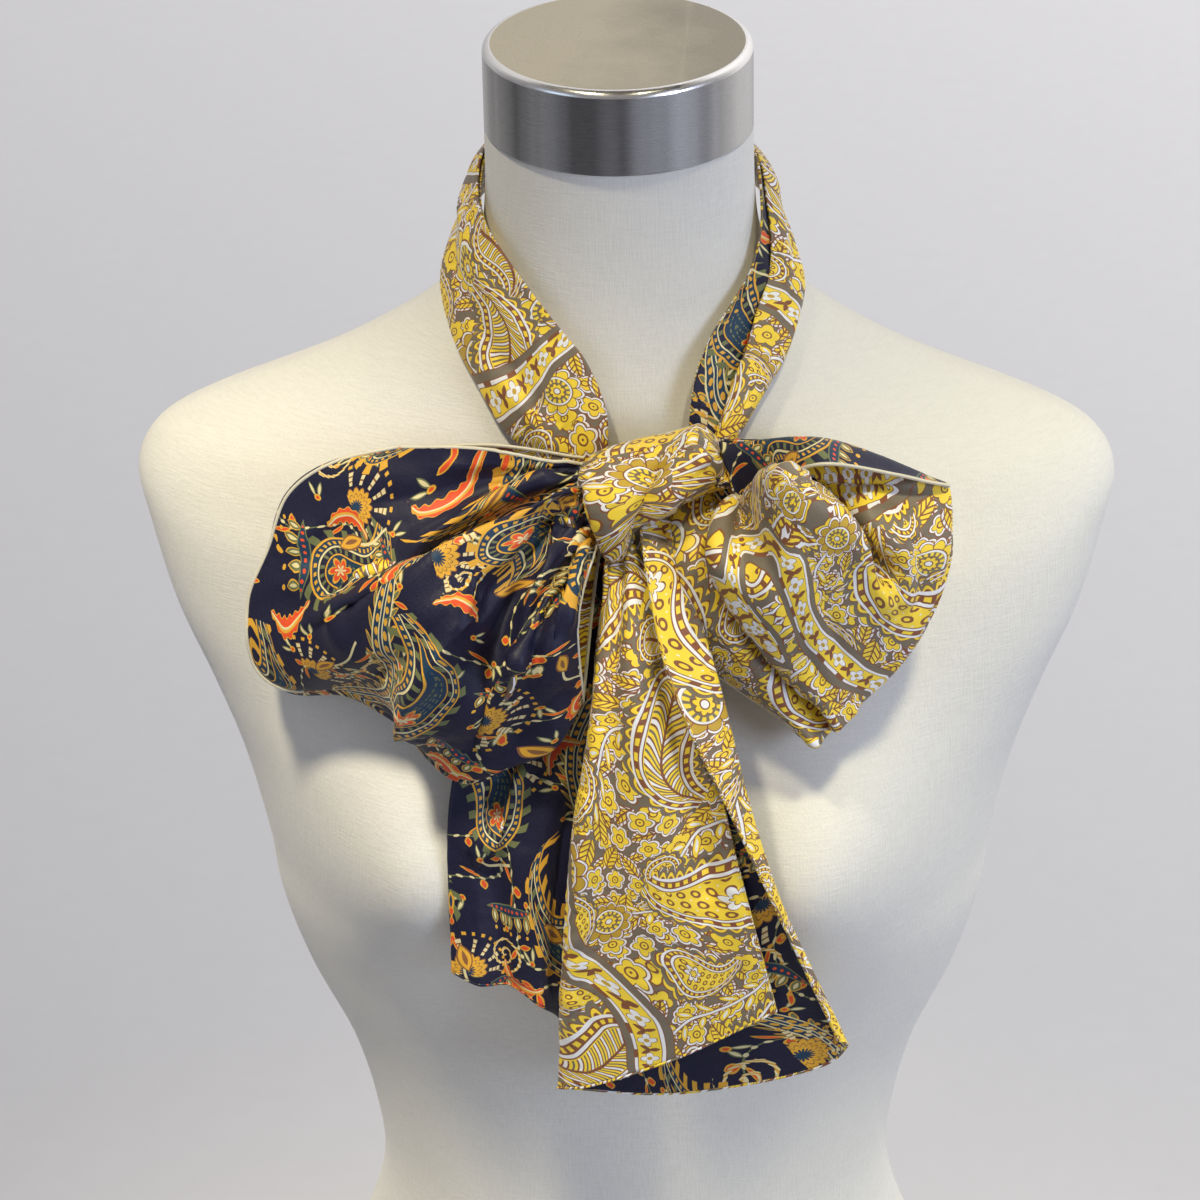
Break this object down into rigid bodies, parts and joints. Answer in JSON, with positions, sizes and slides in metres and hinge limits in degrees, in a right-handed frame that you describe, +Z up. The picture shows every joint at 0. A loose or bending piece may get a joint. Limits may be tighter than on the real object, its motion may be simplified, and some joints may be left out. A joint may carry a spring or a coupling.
{
  "type": "bow-tied silk scarf on dress form",
  "caption": "Double-faced printed silk scarf wound round the neck of a limbless jersey dress form and tied in a soft bow at the front, its tails hanging over the bust.",
  "frame": {"origin": "middle of the dress form's flat underside, below the axis of its neck", "axes": "+Z up along the neck's axis; the form's front faces -Y; +X is to the right of someone looking at its front"},
  "size_m": [0.412, 0.2659, 0.7363],
  "materials": {
    "jersey": "matte fine-knit jersey",
    "neck_cap_steel": "brushed side, satin top",
    "silk": "satin-faced printed silk, navy on one face and gold on the other"
  },
  "bodies": {
    "root": {"form_torso": "jersey", "form_neck_cap": "neck_cap_steel", "scarf_knot": "silk", "scarf_loop_left": "silk", "scarf_loop_right": "silk", "scarf_tail_left": "silk", "scarf_tail_right": "silk", "scarf_neck_left": "silk", "scarf_neck_right": "silk", "scarf_neck_back": "silk"}
  },
  "joints": []
}
